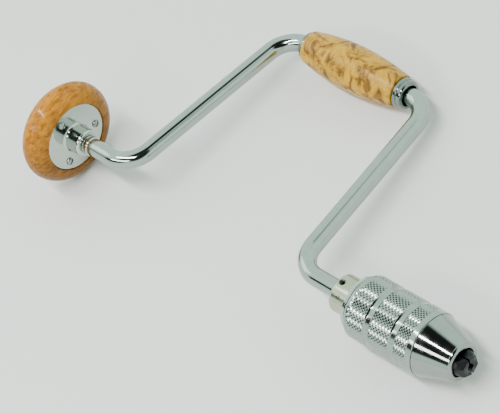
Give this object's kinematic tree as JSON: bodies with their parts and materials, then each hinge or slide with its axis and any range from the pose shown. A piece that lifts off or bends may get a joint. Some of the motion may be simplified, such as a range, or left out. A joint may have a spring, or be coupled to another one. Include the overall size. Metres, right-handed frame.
{
  "type": "bit brace",
  "caption": "Hand brace with a bent chromed crank, a turning wooden head and sweep grip, and a knurled shell chuck whose black jaws close on a drill bit.",
  "frame": {"origin": "on the main axis at the front of the closed jaws, where a bit goes in", "axes": "+X along the main axis from the head to the chuck, +Y from the main axis to the sweep grip, +Z square to the crank's plane"},
  "size_m": [0.3282, 0.1721, 0.0626],
  "materials": {
    "chrome": "bright chrome plate, lightly handled",
    "chrome_plate": "bright chrome plate",
    "screw_steel": "zinc-plated steel",
    "bronze": "plain bearing bronze",
    "inner_steel": "turned steel, lightly oiled",
    "spring_steel": "dark spring steel",
    "pale_nickel": "satin nickel plate with a yellow tint",
    "knurled_steel": "knurled and satin chromed steel",
    "polished_steel": "polished chromed steel",
    "black_oxide": "black oxide",
    "varnished_wood": "glossy orange varnish",
    "burl_wood": "satin varnish over burl figure"
  },
  "bodies": {
    "crank": {"crank": "chrome", "chuck_spindle": "pale_nickel", "roll_pin": "spring_steel", "thrust_collar": "chrome", "end_washer": "inner_steel", "retaining_ring": "spring_steel", "jaw_spring": "spring_steel"},
    "head": {"head_knob": "varnished_wood", "head_plate": "chrome_plate", "head_screws": "screw_steel", "head_bush": "bronze"},
    "grip": {"grip_barrel": "burl_wood", "ferrule_chuck_end": "chrome", "ferrule_head_end": "chrome"},
    "nose": {"nose_cone": "polished_steel", "nose_keeper": "inner_steel", "thrust_washer": "bronze"},
    "sleeve": {"chuck_sleeve": "knurled_steel", "sleeve_cap": "chrome"},
    "jaw_grip_side": {"jaw_grip_side": "black_oxide"},
    "jaw_open_side": {"jaw_open_side": "black_oxide"}
  },
  "joints": [
    {"name": "head_spin", "type": "hinge", "parent": "crank", "child": "head", "pos_m": [-0.30495, 0, 0], "axis": [1, 0, 0], "continuous": true},
    {"name": "grip_spin", "type": "hinge", "parent": "crank", "child": "grip", "pos_m": [-0.191, 0.127, 0], "axis": [1, 0, 0], "continuous": true},
    {"name": "nose_slide", "type": "slide", "parent": "crank", "child": "nose", "axis": [1, 0, 0], "range_m": [0, 0.0075]},
    {"name": "sleeve_turn", "type": "hinge", "parent": "nose", "child": "sleeve", "pos_m": [-0.0746, 0, 0], "axis": [1, 0, 0], "range_deg": [0, 1080]},
    {"name": "jaw_grip_side_swing", "type": "hinge", "parent": "crank", "child": "jaw_grip_side", "pos_m": [-0.0528, 0.00745, 0], "axis": [0, 0, 1], "range_deg": [0, 2.53]},
    {"name": "jaw_open_side_swing", "type": "hinge", "parent": "crank", "child": "jaw_open_side", "pos_m": [-0.0528, -0.00745, 0], "axis": [0, 0, -1], "range_deg": [0, 2.53]}
  ],
  "couplings": [
    {"joint": "nose_slide", "follows": "sleeve_turn", "m_per_rad": 0.00039789},
    {"joint": "jaw_grip_side_swing", "follows": "sleeve_turn", "ratio": 0.0023428},
    {"joint": "jaw_open_side_swing", "follows": "sleeve_turn", "ratio": 0.0023428}
  ]
}
